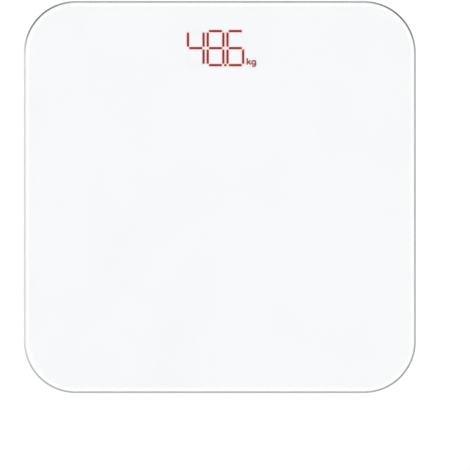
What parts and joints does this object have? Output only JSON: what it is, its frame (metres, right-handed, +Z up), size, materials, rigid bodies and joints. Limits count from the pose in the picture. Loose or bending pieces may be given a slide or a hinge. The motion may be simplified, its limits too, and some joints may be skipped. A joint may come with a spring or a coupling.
{
  "type": "digital bathroom scale",
  "caption": "Slim square glass bathroom scale with rounded corners, a red digital weight reading under the glass, sprung load-cell feet and a charging socket in the edge of its tray.",
  "frame": {"origin": "on the floor under the middle of the glass platform", "axes": "+Z up, +Y towards the display end, +X to the right of a person who reads the display"},
  "size_m": [0.28, 0.28, 0.023],
  "materials": {
    "clear_glass": "tempered, pencil-polished edge",
    "white_film": "white print, even",
    "foam_tape": "foam, dull",
    "tray_plastic": "moulded, fine texture",
    "circuit_board": "solder mask, satin",
    "plated_steel": "plated",
    "white_reflector": "matte",
    "lit_red": "translucent, lit",
    "unlit_white": "translucent, unlit",
    "black_epoxy": "semi-gloss",
    "chip_ceramic": "matte",
    "black_nylon": "satin",
    "button_plastic": "satin",
    "battery_pouch": "foil pouch",
    "amber_tape": "polyimide tape, satin",
    "foam_pad": "open foam",
    "lead_red": "insulation, satin",
    "white_nylon": "satin",
    "gauge_foil": "foil on film",
    "white_silicone": "silicone",
    "bracket_plastic": "moulded",
    "spring_steel": "stamped",
    "ribbon_wire": "insulation, satin",
    "foot_plastic": "moulded, fine texture",
    "pad_rubber": "soft, matte"
  },
  "bodies": {
    "platform": {"glass_platform": "clear_glass", "backing_film": "white_film", "bonding_tape": "foam_tape", "base_tray": "tray_plastic", "main_board": "circuit_board", "board_screws": "plated_steel", "display_block": "white_reflector", "display_bars_lit": "lit_red", "display_bars_dark": "unlit_white", "unit_lens": "unlit_white", "measuring_chip": "black_epoxy", "charger_chip": "black_epoxy", "board_passives": "chip_ceramic", "charging_socket": "plated_steel", "socket_tongue": "black_nylon", "unit_switch": "black_nylon", "battery_cell": "battery_pouch", "battery_guard": "amber_tape", "battery_pad": "foam_pad", "battery_leads": "lead_red", "battery_header": "white_nylon", "battery_plug": "white_nylon", "cell_headers": "white_nylon", "cell_plugs": "white_nylon", "strain_gauges": "gauge_foil", "gauge_covers": "white_silicone", "sensor_bracket_front_left": "bracket_plastic", "load_cell_front_left": "spring_steel", "cell_wires_front_left": "ribbon_wire", "sensor_bracket_front_right": "bracket_plastic", "load_cell_front_right": "spring_steel", "cell_wires_front_right": "ribbon_wire", "sensor_bracket_back_left": "bracket_plastic", "load_cell_back_left": "spring_steel", "cell_wires_back_left": "ribbon_wire", "sensor_bracket_back_right": "bracket_plastic", "load_cell_back_right": "spring_steel", "cell_wires_back_right": "ribbon_wire"},
    "foot_front_left": {"foot_cap_front_left": "foot_plastic", "foot_pad_front_left": "pad_rubber"},
    "foot_front_right": {"foot_cap_front_right": "foot_plastic", "foot_pad_front_right": "pad_rubber"},
    "foot_back_left": {"foot_cap_back_left": "foot_plastic", "foot_pad_back_left": "pad_rubber"},
    "foot_back_right": {"foot_cap_back_right": "foot_plastic", "foot_pad_back_right": "pad_rubber"},
    "unit_button": {"unit_button": "button_plastic", "switch_plunger": "black_nylon"}
  },
  "joints": [
    {"name": "foot_front_left_travel", "type": "slide", "parent": "platform", "child": "foot_front_left", "axis": [0, 0, 1], "range_m": [0, 0.0005], "stiffness_N_per_m": 1000, "springref_m": -0.004, "deforming": ["load_cell_front_left"]},
    {"name": "foot_front_right_travel", "type": "slide", "parent": "platform", "child": "foot_front_right", "axis": [0, 0, 1], "range_m": [0, 0.0005], "stiffness_N_per_m": 1000, "springref_m": -0.004, "deforming": ["load_cell_front_right"]},
    {"name": "foot_back_left_travel", "type": "slide", "parent": "platform", "child": "foot_back_left", "axis": [0, 0, 1], "range_m": [0, 0.0005], "stiffness_N_per_m": 1000, "springref_m": -0.004, "deforming": ["load_cell_back_left"]},
    {"name": "foot_back_right_travel", "type": "slide", "parent": "platform", "child": "foot_back_right", "axis": [0, 0, 1], "range_m": [0, 0.0005], "stiffness_N_per_m": 1000, "springref_m": -0.004, "deforming": ["load_cell_back_right"]},
    {"name": "unit_button_press", "type": "slide", "parent": "platform", "child": "unit_button", "axis": [0, 0, 1], "range_m": [0, 0.0004], "stiffness_N_per_m": 4000}
  ]
}
